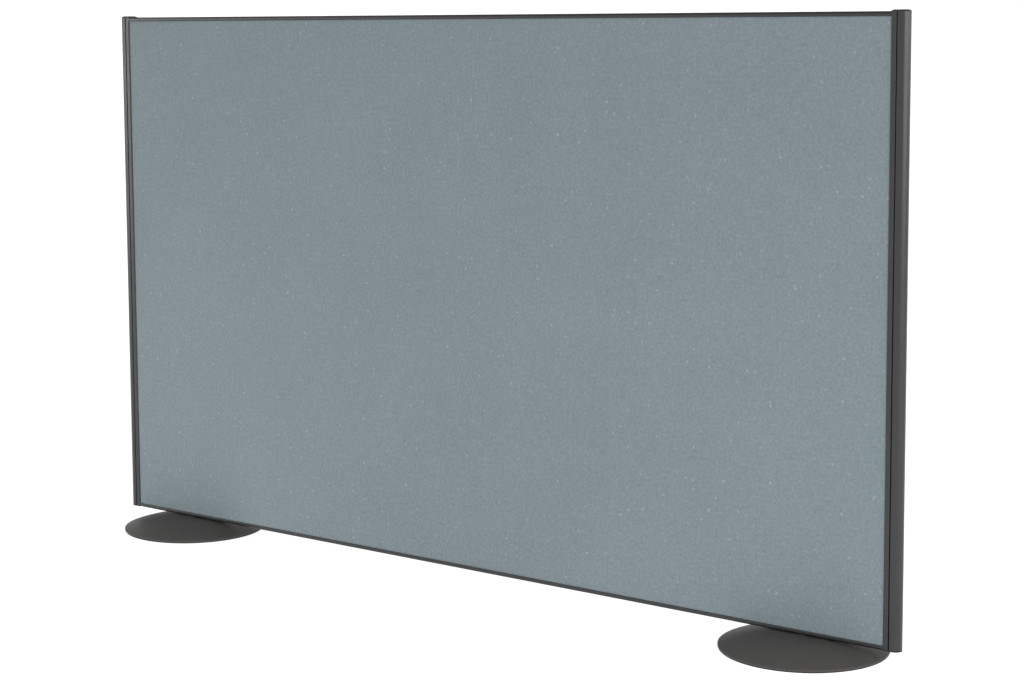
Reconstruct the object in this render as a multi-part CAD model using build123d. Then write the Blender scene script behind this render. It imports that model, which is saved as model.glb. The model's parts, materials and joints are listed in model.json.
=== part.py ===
"""Free-standing office floor screen.

A flat cloth-faced panel stands on edge on two low round feet. The panel is a timber frame with an
acoustic infill and two pin boards, each covered in stretched cloth. Channel-section rails grip its
four edges. The two upright rails carry an undercut slot on their outer side, where a half-round end
strip slides in from above. Each foot is a pressed dome with a threaded stud that screws up into a
plate inside the bottom rail, so turning the foot levels the screen.

X runs along the panel, Y through it with the front at -Y, and Z up. The origin is on the floor under
the middle of the panel. Sizes are in millimetres.
"""
import math
import os

from build123d import *

# Driving dimensions
overall_width = 1800.0
panel_height = 1025.0
frame_depth = 24.0
foot_diameter = 285.0
foot_from_end = 180.0  # centre of a foot from the end of the screen

# Channel-section rails
rail_web = 2.0
rail_lip_wall = 2.2
top_lip = 8.0
bottom_lip = 7.5
side_lip = 9.5
rail_edge_round = 3.0  # long outer edges of the top and bottom rails
lip_round = 2.0  # edges of the lips beside the cloth
reveal_edge_round = 0.6
reveal = 2.0  # open line between an upright rail and its end strip

# Slot on the outer side of an upright rail
slot_half_width = 4.5
slot_wall = 1.5
slot_depth = 7.0
slot_hook = 1.5

# Half-round end strip that slides in the slot
strip_flat = 5.0
strip_wall = 2.0
strip_web = 1.5
strip_web_from_slot = 1.0
tongue_head_half = 3.8
tongue_head = 2.0
tongue_stem_half = 2.0
slide_clearance = 0.3
strip_plug_depth = 10.0

# Caps on the ends of the upright rails and of the end strips
cap_rim = 0.6  # upright part of a top cap
cap_rise = 2.0  # height of its sloping part
cap_slope = 4.0  # how far its sloping part leans in
bottom_cap = 2.0
cap_peg_radius = 2.5
cap_peg_length = 12.0

# Layers of the panel
cloth = 0.8
pin_board = 2.6
timber_width = 40.0
edge_clearance = 0.3
infill_clearance = 0.5
fixing_clearance = 0.05

# Corner brackets and their screws
bracket_leg = 50.0
bracket_wall = 3.0
bracket_width = 11.0
bracket_screw_from_corner = 34.0
bracket_screw_radius = 2.0
bracket_screw_head_radius = 3.5
bracket_screw_head = 2.0

# Screws that hold the upright rails to the timber
rail_screw_rows = 4
rail_screw_margin = 120.0
rail_screw_radius = 2.0
rail_screw_head_radius = 3.5
rail_screw_head = 1.8
rail_screw_length = 28.0

# Foot: mat, ballast plate, dome and centre
mat_height = 2.0
mat_inset = 1.0
rim_height = 3.0
dome_wall = 3.0
dome_flat_radius = 40.0
dome_rise = 17.8
ballast_inset = 21.0
ballast_height = 3.0
ballast_hole_radius = 12.0
collar_radius = 11.0
collar_height = 1.0
washer_radius = 10.0
washer_height = 1.2
stud_radius = 4.0
stud_clearance = 0.05
stud_head_across = 13.0
stud_above_block = 8.0

# Fixing plate and threaded block inside the bottom rail
plate_length = 100.0
plate_width = 12.0
plate_wall = 3.0
clear_hole_radius = 5.0
block_length = 30.0
block_height = 12.0
plate_screw_spacing = 76.0
plate_screw_radius = 2.0
plate_screw_head_radius = 3.8
plate_screw_length = 25.0

overrun = 1.0  # how far every cutting solid runs past the face that it opens

# Places worked out from the sizes above
half_depth = frame_depth / 2
strip_reach = reveal / 2 + strip_flat + half_depth
seam_x = overall_width / 2 - strip_reach  # middle of the reveal
rail_outer_x = seam_x - reveal / 2
rail_inner_x = rail_outer_x - side_lip
web_inner_x = rail_outer_x - rail_web
channel_half = half_depth - rail_lip_wall

ballast_top = mat_height + ballast_height
rim_top = mat_height + rim_height
dome_top = rim_top + dome_rise
collar_top = dome_top + collar_height
panel_bottom = collar_top + washer_height
panel_top = panel_bottom + panel_height
bottom_web_top = panel_bottom + rail_web
top_web_bottom = panel_top - rail_web
foot_radius = foot_diameter / 2
ballast_radius = foot_radius - ballast_inset
foot_x = overall_width / 2 - foot_from_end

board_half = channel_half - cloth
timber_half = board_half - pin_board
panel_half_width = web_inner_x - edge_clearance
panel_low = bottom_web_top
panel_high = top_web_bottom - edge_clearance
strip_low = panel_bottom + bottom_cap

plate_top = bottom_web_top + plate_wall
block_top = plate_top + block_height
stud_top = block_top + stud_above_block


def block(x0, x1, y0, y1, z0, z1):
    """Box between two opposite corners."""
    centre = Pos((x0 + x1) / 2, (y0 + y1) / 2, (z0 + z1) / 2)
    return centre * Box(x1 - x0, y1 - y0, z1 - z0)


def rod(radius, z0, z1, x=0.0, y=0.0):
    """Upright cylinder."""
    return Pos(x, y, (z0 + z1) / 2) * Cylinder(radius, z1 - z0)


def rod_x(radius, x0, x1, y, z):
    """Cylinder along X."""
    return Pos((x0 + x1) / 2, y, z) * Rot(0, 90, 0) * Cylinder(radius, x1 - x0)


def left_of(shape):
    """The same piece on the left side of the screen."""
    return shape.mirror(Plane.YZ)


def half_round(radius, flat_x0, z0, z1):
    """D-shaped bar: a straight part from flat_x0, then a half circle that ends the screen."""
    centre_x = seam_x + reveal / 2 + strip_flat
    straight = block(flat_x0, centre_x, -radius, radius, z0, z1)
    bow = rod(radius, z0, z1, centre_x) & block(
        centre_x, centre_x + radius + overrun, -radius - overrun, radius + overrun, z0, z1
    )
    return straight + bow


def lip_edge_cutters():
    """What rounds the lip edges of the right upright rail, between the top and bottom rails."""
    z0 = panel_bottom + bottom_lip
    z1 = panel_top - top_lip
    round_x = rail_inner_x + lip_round
    cutters = []
    for side in (-1, 1):
        round_y = side * (half_depth - lip_round)
        corner_y = sorted((round_y, side * (half_depth + overrun)))
        corner = block(rail_inner_x - overrun, round_x, *corner_y, z0, z1)
        cutters.append(corner - rod(lip_round, z0, z1, round_x, round_y))
    return cutters


def side_rail():
    """Right upright rail: a channel that grips the panel, with the undercut slot outside it."""
    z0 = strip_low
    z1 = panel_top
    rail = block(rail_inner_x, rail_outer_x, -half_depth, half_depth, z0, z1)
    rail = fillet(rail.edges().filter_by(Axis.Z).group_by(Axis.X)[-1], reveal_edge_round)
    rail -= lip_edge_cutters()
    rail -= block(
        rail_inner_x - overrun, web_inner_x, -channel_half, channel_half, z0 - overrun, z1 + overrun
    )
    slot_end_x = rail_outer_x + slot_depth
    for side in (-1, 1):
        wall_y = sorted((side * slot_half_width, side * (slot_half_width + slot_wall)))
        rail += block(rail_outer_x, slot_end_x, *wall_y, z0, z1)
        hook_y = sorted((side * (slot_half_width - slot_hook), side * slot_half_width))
        rail += block(slot_end_x - slot_wall, slot_end_x, *hook_y, z0, z1)
    return rail - rail_screw_set(fixing_clearance)


def level_rail(lip, low_edge):
    """Channel with rounded edges, its web at the top of a block that starts at low_edge."""
    rail = block(-rail_inner_x, rail_inner_x, -half_depth, half_depth, low_edge, low_edge + lip)
    rail = fillet(rail.edges().filter_by(Axis.X).group_by(Axis.Z)[-1], rail_edge_round)
    rail = fillet(rail.edges().filter_by(Axis.X).group_by(Axis.Z)[0], lip_round)
    inner_x = rail_inner_x + overrun
    return rail - block(
        -inner_x, inner_x, -channel_half, channel_half, low_edge - overrun, low_edge + lip - rail_web
    )


def top_rail():
    """Channel along the top. Its web runs on between the lips of the upright rails."""
    rail = level_rail(top_lip, panel_top - top_lip)
    rail += block(-web_inner_x, web_inner_x, -channel_half, channel_half, top_web_bottom, panel_top)
    pegs = top_peg(fixing_clearance)
    return rail - pegs - left_of(pegs) - bracket_screw_set(fixing_clearance, "top")


def bottom_rail():
    """Channel along the bottom, with a clear hole over each foot."""
    rail = level_rail(bottom_lip, 0).mirror(Plane.XY)
    rail = Pos(0, 0, panel_bottom + bottom_lip) * rail
    for side in (-1, 1):
        rail -= rod(clear_hole_radius, panel_bottom - overrun, bottom_web_top + overrun, side * foot_x)
    return rail - bracket_screw_set(fixing_clearance, "bottom")


def peg_x():
    """Middle of the stretch of an upright rail that its caps cover."""
    return (rail_inner_x + web_inner_x) / 2


def top_peg(clearance=0.0):
    """Peg under the right top cap, or the hole for it."""
    return rod(cap_peg_radius + clearance, panel_top - cap_peg_length, panel_top, peg_x())


def bottom_peg(clearance=0.0):
    """Peg above the right bottom cap, or the hole for it."""
    return rod(cap_peg_radius + clearance, strip_low, strip_low + cap_peg_length, peg_x())


def low_roof(plate):
    """The plate of a top cap with its sloping part on top."""
    lean = math.degrees(math.atan2(cap_slope, cap_rise))
    return plate + extrude(plate.faces().sort_by(Axis.Z)[-1], amount=cap_rise, taper=lean)


def rail_top_cap():
    """Moulded cap on top of the right upright rail."""
    plate = block(
        rail_inner_x, rail_outer_x, -half_depth, half_depth, panel_top, panel_top + cap_rim
    )
    return low_roof(plate) + top_peg()


def rail_bottom_cap():
    """Moulded cap under the right upright rail. The end strip stands on it."""
    plate = half_round(half_depth, rail_inner_x, panel_bottom, strip_low)
    return plate + bottom_peg()


def end_strip():
    """Half-round strip with a tongue that slides in the slot of the right upright rail."""
    z0 = strip_low
    z1 = panel_top
    inner = half_depth - strip_wall
    start_x = seam_x + reveal / 2
    body = half_round(half_depth, start_x, z0, z1)
    body = fillet(body.edges().filter_by(Axis.Z).group_by(Axis.X)[0], reveal_edge_round)
    body -= half_round(inner, start_x - overrun, z0 - overrun, z1 + overrun)
    slot_end_x = rail_outer_x + slot_depth
    web_x = slot_end_x + strip_web_from_slot
    web = block(web_x, web_x + strip_web, -half_depth, half_depth, z0, z1)
    body += web & half_round(half_depth, start_x, z0, z1)
    head_end_x = slot_end_x - slot_wall - slide_clearance
    body += block(head_end_x, web_x, -tongue_stem_half, tongue_stem_half, z0, z1)
    body += block(
        head_end_x - tongue_head, head_end_x, -tongue_head_half, tongue_head_half, z0, z1
    )
    return body


def end_strip_cap():
    """Moulded cap on top of the right end strip, with a plug that grips inside it."""
    start_x = seam_x + reveal / 2
    plate = low_roof(half_round(half_depth, start_x, panel_top, panel_top + cap_rim))
    web_end_x = rail_outer_x + slot_depth + strip_web_from_slot + strip_web
    plug_radius = half_depth - strip_wall - fixing_clearance
    plug = half_round(plug_radius, start_x, panel_top - strip_plug_depth, panel_top)
    plug &= block(
        web_end_x + fixing_clearance, overall_width / 2,
        -half_depth, half_depth, panel_top - strip_plug_depth, panel_top,
    )
    return plate + plug


def corner_bracket(high):
    """Right steel angle between a rail's web and the upright rail's web. high is True at the top."""
    half = bracket_width / 2
    inner_x = web_inner_x - bracket_leg
    if high:
        leg = block(inner_x, web_inner_x, -half, half, top_web_bottom - bracket_wall, top_web_bottom)
        upright = block(
            web_inner_x - bracket_wall, web_inner_x, -half, half,
            top_web_bottom - bracket_leg, top_web_bottom,
        )
        body = leg + upright - top_peg(fixing_clearance)
    else:
        leg = block(inner_x, web_inner_x, -half, half, bottom_web_top, bottom_web_top + bracket_wall)
        upright = block(
            web_inner_x - bracket_wall, web_inner_x, -half, half,
            bottom_web_top, bottom_web_top + bracket_leg,
        )
        body = leg + upright - bottom_peg(fixing_clearance)
    return body - bracket_screw_set(fixing_clearance, "both")


def bracket_screw(high, clearance=0.0):
    """Screw that holds the right bracket to the rail's web."""
    x = web_inner_x - bracket_screw_from_corner
    shank = bracket_screw_radius + clearance
    head = bracket_screw_head_radius + clearance
    if high:
        seat = top_web_bottom - bracket_wall
        body = rod(shank, seat, top_web_bottom + rail_web, x)
        body += rod(head, seat - bracket_screw_head, seat, x)
    else:
        seat = bottom_web_top + bracket_wall
        body = rod(shank, panel_bottom, seat, x)
        body += rod(head, seat, seat + bracket_screw_head, x)
    return body


def bracket_screw_set(clearance, where):
    """The bracket screws of both sides, or the holes for them."""
    levels = {"top": (True,), "bottom": (False,), "both": (True, False)}[where]
    right = [bracket_screw(high, clearance) for high in levels]
    return right + [left_of(screw) for screw in right]


def rail_screw_heights():
    """Heights of the screws along an upright rail."""
    low = panel_bottom + rail_screw_margin
    step = (panel_height - 2 * rail_screw_margin) / (rail_screw_rows - 1)
    return [low + step * row for row in range(rail_screw_rows)]


def rail_screw(z, clearance=0.0):
    """Screw from the slot of the right upright rail into the timber."""
    body = rod_x(rail_screw_radius + clearance, rail_outer_x - rail_screw_length, rail_outer_x, 0.0, z)
    head = rod_x(
        rail_screw_head_radius + clearance, rail_outer_x, rail_outer_x + rail_screw_head, 0.0, z
    )
    return body + head


def rail_screw_set(clearance):
    """The screws of the right upright rail, or the holes for them."""
    return [rail_screw(z, clearance) for z in rail_screw_heights()]


def core_cutters():
    """What the timber makes room for on the right side."""
    cutters = [corner_bracket_room(high) for high in (True, False)]
    cutters += [bracket_screw(high, fixing_clearance) for high in (True, False)]
    cutters += rail_screw_set(fixing_clearance)
    cutters += [top_peg(fixing_clearance), bottom_peg(fixing_clearance)]
    return cutters


def corner_bracket_room(high):
    """Pocket in the timber for the right bracket, through its whole thickness."""
    half = timber_half + overrun
    near = bracket_wall + edge_clearance
    inner_x = web_inner_x - bracket_leg - edge_clearance
    outer_x = web_inner_x + overrun
    reach = bracket_leg + edge_clearance
    if high:
        leg = block(inner_x, outer_x, -half, half, top_web_bottom - near, top_web_bottom + overrun)
        upright = block(
            web_inner_x - near, outer_x, -half, half, top_web_bottom - reach, top_web_bottom
        )
    else:
        leg = block(inner_x, outer_x, -half, half, bottom_web_top - overrun, bottom_web_top + near)
        upright = block(
            web_inner_x - near, outer_x, -half, half, bottom_web_top, bottom_web_top + reach
        )
    return leg + upright


def core_stile():
    """Right upright timber of the panel."""
    body = block(
        panel_half_width - timber_width, panel_half_width,
        -timber_half, timber_half, panel_low, panel_high,
    )
    return body - core_cutters()


def core_rail(high):
    """Level timber of the panel, between the stiles."""
    half = panel_half_width - timber_width
    z0 = panel_high - timber_width if high else panel_low
    body = block(-half, half, -timber_half, timber_half, z0, z0 + timber_width)
    for cutter in core_cutters():
        body -= cutter
        body -= left_of(cutter)
    if not high:
        for side in (-1, 1):
            body -= foot_fixing_room(side * foot_x)
    return body


def foot_fixing_room(x):
    """Pocket in the bottom timber for a fixing plate, its block and the end of the stud."""
    deep = timber_half + overrun
    plate_reach = plate_length / 2 + edge_clearance
    block_reach = block_length / 2 + edge_clearance
    room = block(x - plate_reach, x + plate_reach, -deep, deep, panel_low - overrun, plate_top)
    room += block(x - block_reach, x + block_reach, -deep, deep, panel_low, block_top)
    room += rod(clear_hole_radius, block_top - overrun, stud_top + edge_clearance, x)
    for screw in plate_screws_at(x, fixing_clearance):
        room += screw
    return room


def middle_stile():
    """Upright timber in the middle of the panel."""
    return block(
        -timber_width / 2, timber_width / 2, -timber_half, timber_half,
        panel_low + timber_width, panel_high - timber_width,
    )


def infill():
    """Acoustic slab in the right bay of the timber frame."""
    return block(
        timber_width / 2 + infill_clearance,
        panel_half_width - timber_width - infill_clearance,
        -timber_half, timber_half,
        panel_low + timber_width + infill_clearance,
        panel_high - timber_width - infill_clearance,
    ) - core_cutters()


def sheet(y0, y1):
    """One layer over the whole panel."""
    return block(-panel_half_width, panel_half_width, *sorted((y0, y1)), panel_low, panel_high)


def fixing_plate(x):
    """Steel plate on the bottom rail's web, over a foot."""
    body = block(
        x - plate_length / 2, x + plate_length / 2,
        -plate_width / 2, plate_width / 2, bottom_web_top, plate_top,
    )
    body -= rod(clear_hole_radius, bottom_web_top - overrun, plate_top + overrun, x)
    for screw in plate_screws_at(x, fixing_clearance):
        body -= screw
    return body


def threaded_block(x):
    """Steel block welded on the fixing plate. The stud of a foot screws through it."""
    body = block(
        x - block_length / 2, x + block_length / 2,
        -plate_width / 2, plate_width / 2, plate_top, block_top,
    )
    return body - rod(stud_radius + stud_clearance, plate_top - overrun, block_top + overrun, x)


def plate_screws_at(x, clearance=0.0):
    """The two countersunk screws of a fixing plate."""
    screws = []
    for side in (-1, 1):
        at_x = x + side * plate_screw_spacing / 2
        head = Pos(at_x, 0, (bottom_web_top + plate_top) / 2) * Cone(
            plate_screw_head_radius + clearance, plate_screw_radius + clearance, plate_wall
        )
        shank_top = bottom_web_top + plate_screw_length
        screws.append(head + rod(plate_screw_radius + clearance, plate_top, shank_top, at_x))
    return screws


def dome(x):
    """Pressed steel dome of a foot, open underneath, with a flat middle and a short upright rim."""
    spread = foot_radius - dome_flat_radius
    bow_radius = (spread**2 + dome_rise**2) / (2 * dome_rise)
    half_angle = math.asin(spread / bow_radius) / 2
    centre_z = dome_top - bow_radius

    def on_bow(radius, angle):
        return (dome_flat_radius + radius * math.sin(angle), centre_z + radius * math.cos(angle))

    inner_radius = bow_radius - dome_wall
    inner_rim = foot_radius - dome_wall
    inner_angle = math.asin((inner_rim - dome_flat_radius) / inner_radius)
    outline = [
        Line((0, dome_top), (dome_flat_radius, dome_top)),
        ThreePointArc(
            (dome_flat_radius, dome_top), on_bow(bow_radius, half_angle), (foot_radius, rim_top)
        ),
        Line((foot_radius, rim_top), (foot_radius, mat_height)),
        Line((foot_radius, mat_height), (inner_rim, mat_height)),
        Line((inner_rim, mat_height), on_bow(inner_radius, inner_angle)),
        ThreePointArc(
            on_bow(inner_radius, inner_angle),
            on_bow(inner_radius, inner_angle / 2),
            (dome_flat_radius, dome_top - dome_wall),
        ),
        Line((dome_flat_radius, dome_top - dome_wall), (0, dome_top - dome_wall)),
        Line((0, dome_top - dome_wall), (0, dome_top)),
    ]
    section = Plane.XZ * make_face(Curve() + outline)
    body = revolve(section, Axis.Z)
    body -= rod(stud_radius + stud_clearance, mat_height, dome_top + overrun)
    return Pos(x, 0, 0) * body


def mat(x):
    """Rubber mat glued under the rim and the ballast plate of a foot."""
    return rod(foot_radius - mat_inset, 0, mat_height, x)


def ballast_plate(x):
    """Steel disc that weighs a foot down, with a hole for the head of the stud."""
    body = rod(ballast_radius, mat_height, ballast_top, x)
    return body - rod(ballast_hole_radius, mat_height - overrun, ballast_top + overrun, x)


def hub(x):
    """Round block that carries the middle of the dome on the ballast plate."""
    z1 = dome_top - dome_wall
    body = rod(dome_flat_radius, ballast_top, z1, x)
    return body - rod(stud_radius + stud_clearance, ballast_top - overrun, z1 + overrun, x)


def stud(x):
    """Threaded stud. Its hexagon head lies in the ballast plate, under the hub."""
    hexagon = RegularPolygon(stud_head_across / 2, 6, major_radius=False)
    head = Pos(x, 0, mat_height) * extrude(hexagon, ballast_height)
    return head + rod(stud_radius, ballast_top, stud_top, x)


def collar(x):
    """Steel collar on top of the dome."""
    body = rod(collar_radius, dome_top, collar_top, x)
    return body - rod(stud_radius + stud_clearance, dome_top - overrun, collar_top + overrun, x)


def thrust_washer(x):
    """Slippery washer between the collar and the bottom rail. It doesn't turn with the foot."""
    body = rod(washer_radius, collar_top, panel_bottom, x)
    return body - rod(stud_radius + edge_clearance, collar_top - overrun, panel_bottom + overrun, x)


def build_parts():
    """Every named piece of the screen."""
    pieces = {
        "top_rail": top_rail(),
        "bottom_rail": bottom_rail(),
        "core_top_rail": core_rail(True),
        "core_bottom_rail": core_rail(False),
        "core_middle_stile": middle_stile(),
        "front_pin_board": sheet(-board_half, -timber_half),
        "back_pin_board": sheet(timber_half, board_half),
        "front_cloth": sheet(-channel_half, -board_half),
        "back_cloth": sheet(board_half, channel_half),
    }
    right_pieces = {
        "side_rail": side_rail(),
        "rail_top_cap": rail_top_cap(),
        "rail_bottom_cap": rail_bottom_cap(),
        "end_strip": end_strip(),
        "end_strip_cap": end_strip_cap(),
        "core_stile": core_stile(),
        "infill_slab": infill(),
        "top_corner_bracket": corner_bracket(True),
        "bottom_corner_bracket": corner_bracket(False),
    }
    for name, piece in right_pieces.items():
        pieces["right_" + name] = piece
        pieces["left_" + name] = left_of(piece)
    for side, x in (("left", -foot_x), ("right", foot_x)):
        pieces[side + "_fixing_plate"] = fixing_plate(x)
        pieces[side + "_threaded_block"] = threaded_block(x)
        pieces[side + "_thrust_washer"] = thrust_washer(x)
        pieces[side + "_foot_dome"] = dome(x)
        pieces[side + "_foot_mat"] = mat(x)
        pieces[side + "_foot_ballast_plate"] = ballast_plate(x)
        pieces[side + "_foot_hub"] = hub(x)
        pieces[side + "_foot_collar"] = collar(x)
        pieces[side + "_foot_stud"] = stud(x)
    plate_screws = plate_screws_at(-foot_x) + plate_screws_at(foot_x)
    rail_screws = [rail_screw(z) for z in rail_screw_heights()]
    rail_screws += [left_of(screw) for screw in rail_screws]
    pieces["plate_screws"] = Compound(children=plate_screws)
    pieces["side_rail_screws"] = Compound(children=rail_screws)
    pieces["bracket_screws"] = Compound(children=bracket_screw_set(0.0, "both"))
    return pieces


os.makedirs("parts", exist_ok=True)
for node, shape in build_parts().items():
    export_step(shape, f"parts/{node}.step")
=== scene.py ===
import json
import math

import bmesh
import bpy
from mathutils import Matrix, Vector


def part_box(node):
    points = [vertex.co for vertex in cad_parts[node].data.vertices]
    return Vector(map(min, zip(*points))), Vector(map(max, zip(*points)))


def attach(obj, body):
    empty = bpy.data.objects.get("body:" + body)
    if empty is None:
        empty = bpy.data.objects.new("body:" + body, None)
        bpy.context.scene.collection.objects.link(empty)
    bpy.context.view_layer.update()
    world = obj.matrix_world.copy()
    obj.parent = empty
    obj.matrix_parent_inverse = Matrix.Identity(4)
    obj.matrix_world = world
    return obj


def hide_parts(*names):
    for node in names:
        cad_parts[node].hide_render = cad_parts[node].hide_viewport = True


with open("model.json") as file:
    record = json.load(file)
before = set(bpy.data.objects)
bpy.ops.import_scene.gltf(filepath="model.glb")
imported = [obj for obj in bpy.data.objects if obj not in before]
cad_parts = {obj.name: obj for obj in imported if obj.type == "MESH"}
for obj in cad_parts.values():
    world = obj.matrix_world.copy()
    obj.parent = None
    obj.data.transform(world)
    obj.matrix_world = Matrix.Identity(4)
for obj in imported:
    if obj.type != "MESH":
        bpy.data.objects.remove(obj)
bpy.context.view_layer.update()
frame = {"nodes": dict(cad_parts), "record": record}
nodes = frame["nodes"]
scene = bpy.context.scene
print("frame loaded:", len(nodes), "nodes")


# Camera, in the place that the panel's edges and both feet in the photograph give

cameraSetup = {
    "location": (2.4460, -3.0278, 1.0316),
    "turnLeft": 0.6566,  # radians about the vertical
    "tilt": -0.1052,
    "roll": 0.0048,
    "focalPixels": 2131.4,
    "centreRow": 249.20,  # image row of the lens axis
    "imageSize": (1024, 683),
    "sensorWidth": 36.0,
    "nearClip": 0.05,
    "farClip": 60.0,
}


def placeCamera():
    width, height = cameraSetup["imageSize"]
    data = bpy.data.cameras.new("camera")
    data.sensor_width = cameraSetup["sensorWidth"]
    data.sensor_fit = "HORIZONTAL"
    data.lens = cameraSetup["focalPixels"] * cameraSetup["sensorWidth"] / width
    data.shift_y = (cameraSetup["centreRow"] - (height - 1) / 2) / width
    data.clip_start = cameraSetup["nearClip"]
    data.clip_end = cameraSetup["farClip"]
    camera = bpy.data.objects.new("camera", data)
    scene.collection.objects.link(camera)
    turn = Matrix.Rotation(cameraSetup["turnLeft"], 4, "Z")
    turn = turn @ Matrix.Rotation(cameraSetup["tilt"], 4, "X")
    turn = turn @ Matrix.Rotation(cameraSetup["roll"], 4, "Y")
    turn = turn @ Matrix.Rotation(math.radians(90.0), 4, "X")  # from looking down to looking level
    camera.matrix_world = Matrix.Translation(cameraSetup["location"]) @ turn
    scene.camera = camera


placeCamera()
print("camera placed")


# Node helpers shared by every finish

class Finish:
    def __init__(self, name):
        self.material = bpy.data.materials.new(name)
        self.material.use_nodes = True
        self.tree = self.material.node_tree
        self.shader = next(n for n in self.tree.nodes if n.type == "BSDF_PRINCIPLED")
        self.place = self.add("ShaderNodeTexCoord").outputs["Object"]

    def add(self, kind, inputs=None, **settings):
        node = self.tree.nodes.new(kind)
        for key, value in settings.items():
            setattr(node, key, value)
        for key, value in (inputs or {}).items():
            self.feed(node, key, value)
        return node

    def feed(self, node, key, value):
        if isinstance(value, bpy.types.NodeSocket):
            self.tree.links.new(value, node.inputs[key])
        else:
            node.inputs[key].default_value = value

    def math(self, operation, first, second=0.0):
        return self.add("ShaderNodeMath", {0: first, 1: second}, operation=operation).outputs[0]

    def axes(self):
        return self.add("ShaderNodeSeparateXYZ", {"Vector": self.place}).outputs

    def stretched(self, scale):
        return self.add("ShaderNodeMapping", {"Vector": self.place, "Scale": scale}).outputs[0]

    def noise(self, scale, detail=2.0, roughness=0.5, vector=None):
        inputs = {"Scale": scale, "Detail": detail, "Roughness": roughness}
        inputs["Vector"] = vector or self.place
        return self.add("ShaderNodeTexNoise", inputs).outputs["Fac"]

    def ramp(self, value, low, high, lowOut=0.0, highOut=1.0):
        inputs = {"Value": value, "From Min": low, "From Max": high}
        inputs.update({"To Min": lowOut, "To Max": highOut})
        return self.add("ShaderNodeMapRange", inputs, clamp=True).outputs[0]

    def spread(self, noise, lowOut=0.0, highOut=1.0):
        # the range that a noise seldom leaves
        return self.ramp(noise, 0.3, 0.7, lowOut, highOut)

    def swing(self, value, amount):
        # a value around one half, as more or less than nothing
        return self.math("MULTIPLY", self.math("SUBTRACT", value, 0.5), amount)

    def mix(self, amount, first, second):
        node = self.add("ShaderNodeMix", data_type="RGBA")
        self.feed(node, "Factor", amount)
        self.feed(node, 6, first)
        self.feed(node, 7, second)
        return node.outputs[2]

    def bump(self, height, strength, distance, normal=None):
        inputs = {"Height": height, "Strength": strength, "Distance": distance}
        if normal is not None:
            inputs["Normal"] = normal
        return self.add("ShaderNodeBump", inputs).outputs[0]

    def set(self, **values):
        for key, value in values.items():
            self.feed(self.shader, key.replace("_", " "), value)


def colour(tint):
    # eight-bit screen values to scene values
    def one(value):
        share = value / 255.0
        return share / 12.92 if share <= 0.04045 else ((share + 0.055) / 1.055) ** 2.4
    return tuple(one(value) for value in tint) + (1.0,)


def toned(base, factor):
    # the same colour, darker or lighter
    return tuple(min(1.0, value * factor) for value in base[:3]) + (1.0,)


# Woven cloth of both faces. A grain is the scale of a noise: the higher, the finer.

clothLook = {
    "tint": (100, 111, 115),
    "light": (118, 128, 132),
    "dark": (85, 96, 100),
    "contrast": 0.25,  # how far from the middle the light and the dark are reached
    "yarnPitch": 0.0011,  # metres between two threads
    "yarnSwap": 0.15,  # how softly warp gives way to weft
    "weave": 0.12,
    "threadGrain": 900.0,
    "threadLength": 28.0,  # the grain along the thread
    "streak": 0.30,
    "mottleGrain": 190.0,
    "mottle": 0.62,
    "patchGrain": 48.0,
    "patch": 0.13,  # soft lighter and darker places a finger wide
    "cloudGrain": 5.0,
    "cloud": 0.10,
    "fleck": (127, 138, 142),
    "fleckSpacing": 0.015,
    "fleckSize": 0.0031,
    "fleckCore": 0.2,  # share of the size that is full strength
    "fleckBare": 0.35,  # share of the places that have no fleck
    "fuzzGrain": 3200.0,
    "fuzzBump": (0.25, 0.0001),  # strength and height
    "weaveBump": (0.55, 0.00022),
    "roughness": (0.86, 0.96),
    "gloss": 0.25,
    "sheen": 0.12,
    "sheenRoughness": 0.6,
}


def weaveOf(f, pitch):
    axes = f.axes()
    across = f.math("SINE", f.math("MULTIPLY", axes["X"], math.pi / pitch))
    along = f.math("SINE", f.math("MULTIPLY", axes["Z"], math.pi / pitch))
    return f.math("MULTIPLY", across, along)


def fleckMask(f, flatPlace):
    spacing = clothLook["fleckSpacing"]
    size = clothLook["fleckSize"] / spacing
    cells = f.add("ShaderNodeTexVoronoi", {"Vector": flatPlace, "Scale": 1.0 / spacing})
    spot = f.ramp(cells.outputs["Distance"], size * clothLook["fleckCore"], size, 1.0, 0.0)
    pick = f.add("ShaderNodeSeparateColor", {"Color": cells.outputs["Color"]}).outputs["Red"]
    return f.math("MULTIPLY", spot, f.ramp(pick, clothLook["fleckBare"], 1.0))


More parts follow.
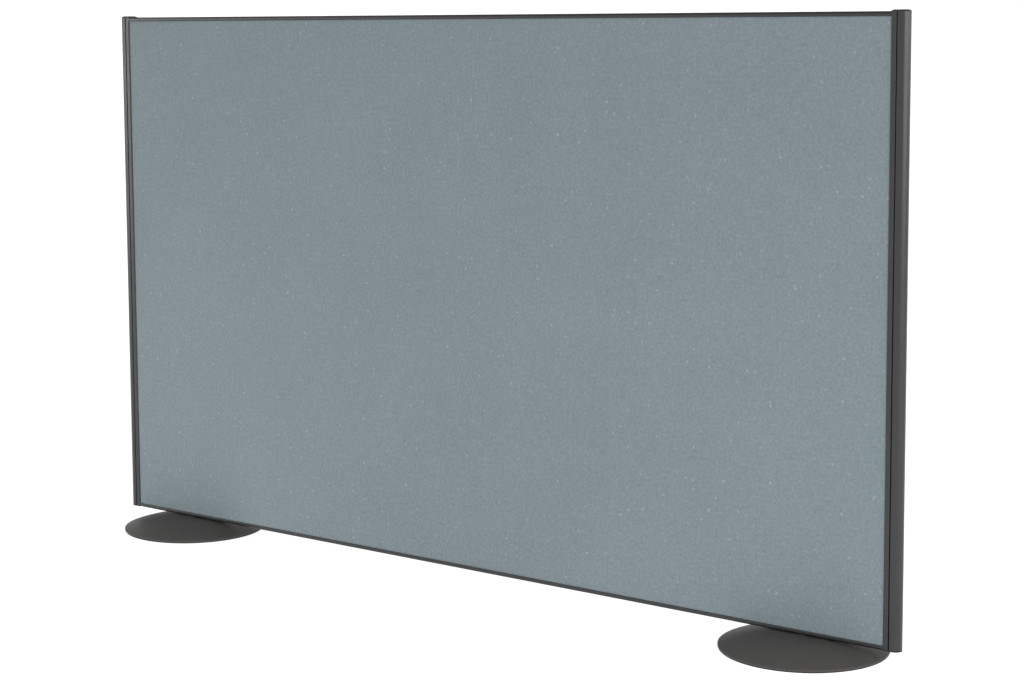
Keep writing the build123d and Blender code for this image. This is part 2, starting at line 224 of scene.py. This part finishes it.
def clothFinish():
    f = Finish("flecked cloth")
    over = weaveOf(f, clothLook["yarnPitch"])
    weave = f.ramp(over, -1.0, 1.0)
    flatPlace = f.stretched((1.0, 0.0, 1.0))
    fine = clothLook["threadGrain"]
    coarse = clothLook["threadLength"]
    warp = f.noise(1.0, 2.0, 0.6, f.stretched((fine, 0.0, coarse)))
    weft = f.noise(1.0, 2.0, 0.6, f.stretched((coarse, 0.0, fine)))
    thread = f.mix(f.ramp(over, -clothLook["yarnSwap"], clothLook["yarnSwap"]), warp, weft)
    layers = {
        "mottle": f.noise(clothLook["mottleGrain"], 3.0, 0.65, flatPlace),
        "streak": thread,
        "patch": f.noise(clothLook["patchGrain"], 2.0, 0.6, flatPlace),
        "cloud": f.noise(clothLook["cloudGrain"], 2.0, 0.5, flatPlace),
        "weave": weave,
    }
    shade = 0.5
    for name, layer in layers.items():
        shade = f.math("ADD", shade, f.swing(layer, clothLook[name]))

    contrast = clothLook["contrast"]
    darker = f.ramp(shade, 0.5 - contrast, 0.5)
    lighter = f.ramp(shade, 0.5, 0.5 + contrast)
    tone = f.mix(darker, colour(clothLook["dark"]), colour(clothLook["tint"]))
    tone = f.mix(lighter, tone, colour(clothLook["light"]))
    tone = f.mix(fleckMask(f, flatPlace), tone, colour(clothLook["fleck"]))

    fuzz = f.noise(clothLook["fuzzGrain"], 2.0, 0.6)
    normal = f.bump(fuzz, *clothLook["fuzzBump"])
    normal = f.bump(weave, *clothLook["weaveBump"], normal)
    f.set(Base_Color=tone, Roughness=f.spread(fuzz, *clothLook["roughness"]), Normal=normal)
    f.set(Sheen_Weight=clothLook["sheen"], Sheen_Roughness=clothLook["sheenRoughness"])
    f.set(Specular_IOR_Level=clothLook["gloss"])
    return f.material


# Powder coat of the frame and of the feet, and a band of painted shade along the frame's level
# rails

coatLooks = {
    "frame": {
        "tint": (38, 38, 39), "roughness": 0.30, "grain": 2400.0, "bump": 0.14, "gloss": 0.36,
    },
    "foot": {
        "tint": (62, 61, 60), "roughness": 0.46, "grain": 1500.0, "bump": 0.10, "gloss": 0.05,
    },
}
coatWear = {
    "light": 1.35,  # times the tint
    "dark": 0.80,
    "worn": 3.0,
    "patchGrain": 14.0,
    "patch": 0.35,
    "edgeRadius": 0.0007,
    "edgeBend": (0.80, 0.97),  # from a worn edge to a flat face
    "edgeGrain": 90.0,
    "edge": (0.05, 0.6),  # least and most wear along an edge
    "smudgeGrain": 7.0,
    "smudge": (-0.04, 0.06),
    "roughnessSpread": 0.05,
    "peelScale": 0.25,  # the orange peel's grain, as a share of the fine one
    "peelHeight": 0.0003,
    "grainHeight": 0.00012,
}
paintedShadeBand = {  # painted shade: a near-black band along the outer edge of the level rails
    "tint": (6, 6, 6),
    "top": 0.0033,
    "bottom": 0.0023,
    "across": 0.0035,
    "soft": 0.0003,
}


def paintedShadeBandMask(f):
    # where the painted shade goes: one on the rounded outer edges of the top and bottom rails,
    # elsewhere nothing
    low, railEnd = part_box("bottom_rail")
    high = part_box("top_rail")[1]
    soft = paintedShadeBand["soft"]
    topLine = high[2] - paintedShadeBand["top"]
    bottomLine = low[2] + paintedShadeBand["bottom"]
    sideLine = high[1] - paintedShadeBand["across"]
    axes = f.axes()
    above = f.ramp(axes["Z"], topLine - soft, topLine + soft)
    below = f.ramp(axes["Z"], bottomLine - soft, bottomLine + soft, 1.0, 0.0)
    inside = f.math("LESS_THAN", f.math("ABSOLUTE", axes["X"]), railEnd[0])
    side = f.ramp(f.math("ABSOLUTE", axes["Y"]), sideLine - soft, sideLine)
    level = f.math("MULTIPLY", f.math("MAXIMUM", above, below), inside)
    return f.math("MULTIPLY", level, side)


def wornEdge(f, corner):
    # most where the rounded normal leaves the flat one, in uneven places
    flat = f.add("ShaderNodeNewGeometry").outputs["Normal"]
    bend = f.add("ShaderNodeVectorMath", {0: corner, 1: flat}, operation="DOT_PRODUCT")
    edge = f.ramp(bend.outputs["Value"], *coatWear["edgeBend"], 1.0, 0.0)
    uneven = f.ramp(f.noise(coatWear["edgeGrain"], 4.0, 0.7), 0.45, 0.75, *coatWear["edge"])
    return f.math("MULTIPLY", edge, uneven)


def coatFinish(key):
    look = coatLooks[key]
    f = Finish(key + " powder coat")
    base = colour(look["tint"])
    lighter = toned(base, coatWear["light"])
    grain = f.noise(look["grain"], 2.0, 0.55)
    patches = f.noise(coatWear["patchGrain"], 4.0, 0.6)
    corner = f.add("ShaderNodeBevel", {"Radius": coatWear["edgeRadius"]}, samples=6).outputs[0]
    tone = f.mix(f.spread(grain), toned(base, coatWear["dark"]), lighter)
    tone = f.mix(f.ramp(patches, 0.45, 0.75, 0.0, coatWear["patch"]), tone, lighter)
    tone = f.mix(wornEdge(f, corner), tone, toned(base, coatWear["worn"]))
    if key == "frame":
        # painted shade: a near-black band laid over the coat along the outer edges of the top and
        # bottom rails
        tone = f.mix(paintedShadeBandMask(f), tone, colour(paintedShadeBand["tint"]))

    vary = coatWear["roughnessSpread"]
    fineRough = f.spread(grain, look["roughness"] - vary, look["roughness"] + vary)
    smudge = f.ramp(f.noise(coatWear["smudgeGrain"], 5.0, 0.65), 0.35, 0.7, *coatWear["smudge"])
    peel = f.noise(look["grain"] * coatWear["peelScale"], 2.0, 0.5)
    normal = f.bump(peel, look["bump"], coatWear["peelHeight"], corner)
    normal = f.bump(grain, look["bump"], coatWear["grainHeight"], normal)
    f.set(Base_Color=tone, Roughness=f.math("ADD", fineRough, smudge), Normal=normal)
    f.set(Specular_IOR_Level=look["gloss"])
    return f.material


# Plainer finishes: moulded parts, rubber, infill and board, then timber and steel

plainLooks = {
    "cap_plastic": {
        "tint": (33, 33, 34), "vary": 0.20, "grain": 1800.0,
        "roughness": 0.55, "bump": 0.22, "gloss": 0.12,
    },
    "washer_plastic": {
        "tint": (30, 30, 31), "vary": 0.15, "grain": 1200.0,
        "roughness": 0.35, "bump": 0.08, "gloss": 0.5,
    },
    "mat_rubber": {
        "tint": (28, 28, 28), "vary": 0.25, "grain": 900.0,
        "roughness": 0.85, "bump": 0.40, "gloss": 0.4,
    },
    "infill": {
        "tint": (176, 174, 166), "vary": 0.35, "grain": 420.0,
        "roughness": 0.95, "bump": 0.70, "gloss": 0.2,
    },
    "pin_board": {
        "tint": (168, 142, 106), "vary": 0.30, "grain": 650.0,
        "roughness": 0.90, "bump": 0.45, "gloss": 0.2,
    },
}
plainGrain = {
    "broadScale": 0.03,  # the broad patches' grain, as a share of the fine one
    "broadAmount": 0.6,
    "smoother": 0.06,
    "rougher": 0.05,
    "height": 0.00025,
}


def plainFinish(slot):
    look = plainLooks[slot]
    f = Finish(slot.replace("_", " "))
    base = colour(look["tint"])
    low = toned(base, 1.0 - look["vary"])
    high = toned(base, 1.0 + look["vary"])
    grain = f.noise(look["grain"], 3.0, 0.6)
    broad = f.noise(look["grain"] * plainGrain["broadScale"], 4.0, 0.6)
    both = f.math("ADD", grain, f.math("MULTIPLY", broad, plainGrain["broadAmount"]))
    smooth = look["roughness"] - plainGrain["smoother"]
    rough = look["roughness"] + plainGrain["rougher"]
    f.set(Base_Color=f.mix(f.ramp(both, 0.55, 1.05), low, high))
    f.set(Roughness=f.spread(broad, smooth, rough), Specular_IOR_Level=look["gloss"])
    f.set(Normal=f.bump(grain, look["bump"], plainGrain["height"]))
    return f.material


timberLook = {
    "pale": (196, 160, 112),
    "late": (158, 118, 74),
    "pore": (120, 86, 52),
    "poreAmount": 0.4,
    "ringGrain": (60.0, 60.0, 4.0),
    "poreGrain": (1400.0, 1400.0, 60.0),
    "roughness": (0.55, 0.72),
    "bump": (0.3, 0.0002),
}
steelLook = {
    "dark": (168, 170, 172),
    "light": (206, 207, 206),
    "spangleGrain": 180.0,
    "scratchGrain": (2600.0, 140.0, 140.0),
    "roughness": (0.28, 0.42),
    "bump": (0.12, 0.00008),
}


def timberFinish():
    f = Finish("planed softwood")
    rings = f.noise(1.0, 5.0, 0.55, f.stretched(timberLook["ringGrain"]))
    pores = f.noise(1.0, 2.0, 0.5, f.stretched(timberLook["poreGrain"]))
    deep = f.ramp(pores, 0.5, 0.8, 0.0, timberLook["poreAmount"])
    tone = f.mix(f.ramp(rings, 0.35, 0.65), colour(timberLook["pale"]), colour(timberLook["late"]))
    f.set(Base_Color=f.mix(deep, tone, colour(timberLook["pore"])))
    f.set(Roughness=f.spread(pores, *timberLook["roughness"]))
    f.set(Normal=f.bump(pores, *timberLook["bump"]))
    return f.material


def steelFinish():
    f = Finish("zinc plated steel")
    scratches = f.noise(1.0, 2.0, 0.6, f.stretched(steelLook["scratchGrain"]))
    spangle = f.ramp(f.noise(steelLook["spangleGrain"], 3.0, 0.6), 0.35, 0.65)
    f.set(Base_Color=f.mix(spangle, colour(steelLook["dark"]), colour(steelLook["light"])))
    f.set(Roughness=f.spread(scratches, *steelLook["roughness"]), Metallic=1.0)
    f.set(Normal=f.bump(scratches, *steelLook["bump"]))
    return f.material


finishes = {"cloth": clothFinish(), "timber": timberFinish(), "plain_steel": steelFinish()}
finishes["frame_coat"] = coatFinish("frame")
finishes["foot_coat"] = coatFinish("foot")
for slotName in plainLooks:
    finishes[slotName] = plainFinish(slotName)


def shadeSmooth(data):
    data.polygons.foreach_set("use_smooth", [True] * len(data.polygons))


def dressNodes():
    slotOf = {part["node"]: part["material_slot"] for part in frame["record"]["subparts"]}
    for name, node in nodes.items():
        for materialSlot in node.material_slots:
            materialSlot.material = finishes[slotOf[name]]
        shadeSmooth(node.data)


dressNodes()
print("finishes:", len(finishes))


# Cloth, stretched over each pin board and tucked behind the lips of the frame

clothShape = {
    "thickness": 0.0008,
    "rim": 0.00004,  # thickness left at the cut edge
    "edgeRound": 0.0022,  # where the cloth turns in over the board's edge
    "edgeSteps": (0.0, 0.08, 0.25, 0.5, 1.0),  # shares of the turned edge
    "crown": 0.00035,  # how far the middle stands off the board
    "crownReach": 0.055,
    "crownSteps": (0.15, 0.4, 0.7, 1.0),  # shares of the crown's reach
    "ripple": 0.00006,
    "rippleAcross": (23.0, 1.3, 11.0),  # radians a metre, wander, and the wander's radians a metre
    "rippleUp": (29.0, 0.9, 13.0),
    "step": 0.018,
}


def rippleWave(along, other, wave):
    rate, wander, wanderRate = wave
    return math.sin(along * rate + wander * math.sin(other * wanderRate))


def frontLift(fromEdge, x, z):
    # height above the board's face, from nothing at the rim to the crown
    turn = min(1.0, fromEdge / clothShape["edgeRound"])
    rim = math.sqrt(max(0.0, 1.0 - (1.0 - turn) ** 2))
    share = min(1.0, fromEdge / clothShape["crownReach"])
    crown = clothShape["crown"] * share * share * (3.0 - 2.0 * share)
    wave = rippleWave(x, z, clothShape["rippleAcross"]) * rippleWave(z, x, clothShape["rippleUp"])
    return clothShape["thickness"] * rim + crown + clothShape["ripple"] * share * wave


def gridLine(low, high):
    # fine steps over the turned edge, then even ones
    near = [clothShape["edgeRound"] * share for share in clothShape["edgeSteps"]]
    near += [clothShape["crownReach"] * share for share in clothShape["crownSteps"]]
    count = max(2, round((high - low - 2 * near[-1]) / clothShape["step"]))
    middleLow = low + near[-1]
    middleHigh = high - near[-1]
    line = [low + offset for offset in near]
    line += [middleLow + (middleHigh - middleLow) * i / count for i in range(1, count)]
    line += [high - offset for offset in reversed(near)]
    return line


def clothPoints(mesh, low, high, faceY, side):
    # rows of points on the outer side and on the board
    front = []
    back = []
    xs = gridLine(low[0], high[0])
    for z in gridLine(low[2], high[2]):
        frontRow = []
        backRow = []
        for x in xs:
            fromEdge = min(x - low[0], high[0] - x, z - low[2], high[2] - z)
            lift = frontLift(fromEdge, x, z)
            outer = faceY + side * (lift + clothShape["rim"])
            frontRow.append(mesh.verts.new((x, outer, z)))
            backRow.append(mesh.verts.new((x, faceY, z)))
        front.append(frontRow)
        back.append(backRow)
    return front, back


def clothFaces(mesh, front, back):
    lastRow = len(front) - 1
    lastColumn = len(front[0]) - 1
    for r in range(lastRow):
        for c in range(lastColumn):
            mesh.faces.new((front[r][c], front[r][c + 1], front[r + 1][c + 1], front[r + 1][c]))
            mesh.faces.new((back[r][c], back[r + 1][c], back[r + 1][c + 1], back[r][c + 1]))
    for c in range(lastColumn):
        for r in (0, lastRow):
            mesh.faces.new((front[r][c], back[r][c], back[r][c + 1], front[r][c + 1]))
    for r in range(lastRow):
        for c in (0, lastColumn):
            mesh.faces.new((front[r][c], front[r + 1][c], back[r + 1][c], back[r][c]))
    bmesh.ops.recalc_face_normals(mesh, faces=mesh.faces)


def addObject(name, mesh, material):
    data = bpy.data.meshes.new(name)
    mesh.to_mesh(data)
    mesh.free()
    shadeSmooth(data)
    data.materials.append(material)
    made = bpy.data.objects.new(name, data)
    scene.collection.objects.link(made)
    return made


def buildCloth(name, node, board, side):
    low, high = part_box(node)
    boardLow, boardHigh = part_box(board)
    faceY = boardLow[1] if side < 0 else boardHigh[1]
    mesh = bmesh.new()
    clothFaces(mesh, *clothPoints(mesh, low, high, faceY, side))
    cloth = addObject(name, mesh, finishes["cloth"])
    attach(cloth, "panel")
    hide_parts(node)


buildCloth("frontClothSheet", "front_cloth", "front_pin_board", -1)
buildCloth("backClothSheet", "back_cloth", "back_pin_board", 1)
print("cloth stretched on both sides")


# Studio: a glowing floor that sweeps up behind, a pale surround that is dimmer behind the
# screen, three soft boxes, and three low fills in front of the feet

studio = {
    "floor": (0.45, 0.45, 0.45),
    "speck": (0.8, 0.8, 0.8),
    "speckGrain": 30.0,
    "speckAmount": 0.02,
    "floorGlow": 0.74,  # the sweep is lit from below, as a light table is
    "reach": 9.0,
    "halfWidth": 27.0,
    "sweepRadius": 3.0,
    "sweepSteps": 24,
    "wallHeight": 6.0,
    "surroundAhead": 1.0,
    "surroundBehind": 0.55,
    "surroundFade": 0.3,  # how gradually one passes into the other
    "boxes": {
        "left soft box": {
            "at": (-4.9, -3.1, 1.15), "aim": (-0.9, 0.0, 0.8), "size": (0.9, 1.9), "power": 40.0,
        },
        "right soft box": {
            "at": (3.72, -1.03, 1.45), "aim": (0.9, 0.0, 0.8), "size": (3.4, 2.0), "power": 88.0,
        },
        "right rear box": {
            "at": (3.4, 1.3, 1.6), "aim": (0.9, 0.0, 0.9), "size": (1.6, 1.4), "power": 28.0,
        },
    },
    "fills": {
        "low fill": {
            "at": (0.0, -1.9, 0.12), "aim": (0.0, 0.0, 0.15), "size": (4.2, 0.15), "power": 7.0,
        },
        "left foot fill": {
            "at": (-0.8, -0.8, 0.1), "aim": (-0.8, 0.0, 0.1), "size": (0.5, 0.08), "power": 1.7,
        },
        "right foot fill": {
            "at": (0.72, -0.8, 0.1), "aim": (0.72, 0.0, 0.1), "size": (0.5, 0.08), "power": 1.2,
        },
    },
}


def floorFinish():
    f = Finish("pale floor")
    speckle = f.spread(f.noise(studio["speckGrain"], 4.0, 0.6), 0.0, studio["speckAmount"])
    f.set(Base_Color=f.mix(speckle, studio["floor"] + (1.0,), studio["speck"] + (1.0,)))
    f.set(Roughness=0.9, Specular_IOR_Level=0.1)
    f.set(Emission_Color=(1.0, 1.0, 1.0, 1.0), Emission_Strength=studio["floorGlow"])
    return f.material


def buildFloor():
    radius = studio["sweepRadius"]
    start = studio["reach"] - radius
    profile = [(-studio["reach"], 0.0)]
    for i in range(studio["sweepSteps"] + 1):
        angle = math.radians(90.0) * i / studio["sweepSteps"]
        profile.append((start + radius * math.sin(angle), radius - radius * math.cos(angle)))
    profile.append((studio["reach"], studio["wallHeight"]))
    mesh = bmesh.new()
    rows = []
    for y, z in profile:
        rows.append([mesh.verts.new((side * studio["halfWidth"], y, z)) for side in (-1, 1)])
    for first, second in zip(rows, rows[1:]):
        mesh.faces.new((first[0], first[1], second[1], second[0]))
    floor = addObject("floor", mesh, floorFinish())
    floor.rotation_euler = (0.0, 0.0, cameraSetup["turnLeft"])


def lightSurround():
    world = bpy.data.worlds.new("studio")
    world.use_nodes = True
    tree = world.node_tree
    background = next(n for n in tree.nodes if n.type == "BACKGROUND")
    background.inputs["Color"].default_value = (1.0, 1.0, 1.0, 1.0)
    direction = tree.nodes.new("ShaderNodeSeparateXYZ")
    tree.links.new(tree.nodes.new("ShaderNodeTexCoord").outputs["Generated"], direction.inputs[0])
    fade = tree.nodes.new("ShaderNodeMapRange")
    tree.links.new(direction.outputs["Y"], fade.inputs["Value"])
    fade.inputs["From Min"].default_value = -studio["surroundFade"]
    fade.inputs["From Max"].default_value = studio["surroundFade"]
    fade.inputs["To Min"].default_value = studio["surroundAhead"]
    fade.inputs["To Max"].default_value = studio["surroundBehind"]
    tree.links.new(fade.outputs[0], background.inputs["Strength"])
    scene.world = world


def hangLamps():
    for name, box in (studio["boxes"] | studio["fills"]).items():
        data = bpy.data.lights.new(name, "AREA")
        data.shape = "RECTANGLE"
        data.size, data.size_y = box["size"]
        data.energy = box["power"]
        lamp = bpy.data.objects.new(name, data)
        scene.collection.objects.link(lamp)
        lamp.location = box["at"]
        away = lamp.location - Vector(box["aim"])
        lamp.rotation_euler = away.to_track_quat("Z", "Y").to_euler()
        lamp.visible_camera = False
        lamp.visible_glossy = name in studio["boxes"]  # the gloss doesn't mirror the fills


buildFloor()
lightSurround()
hangLamps()
scene.view_settings.view_transform = "Standard"
print("studio lit")
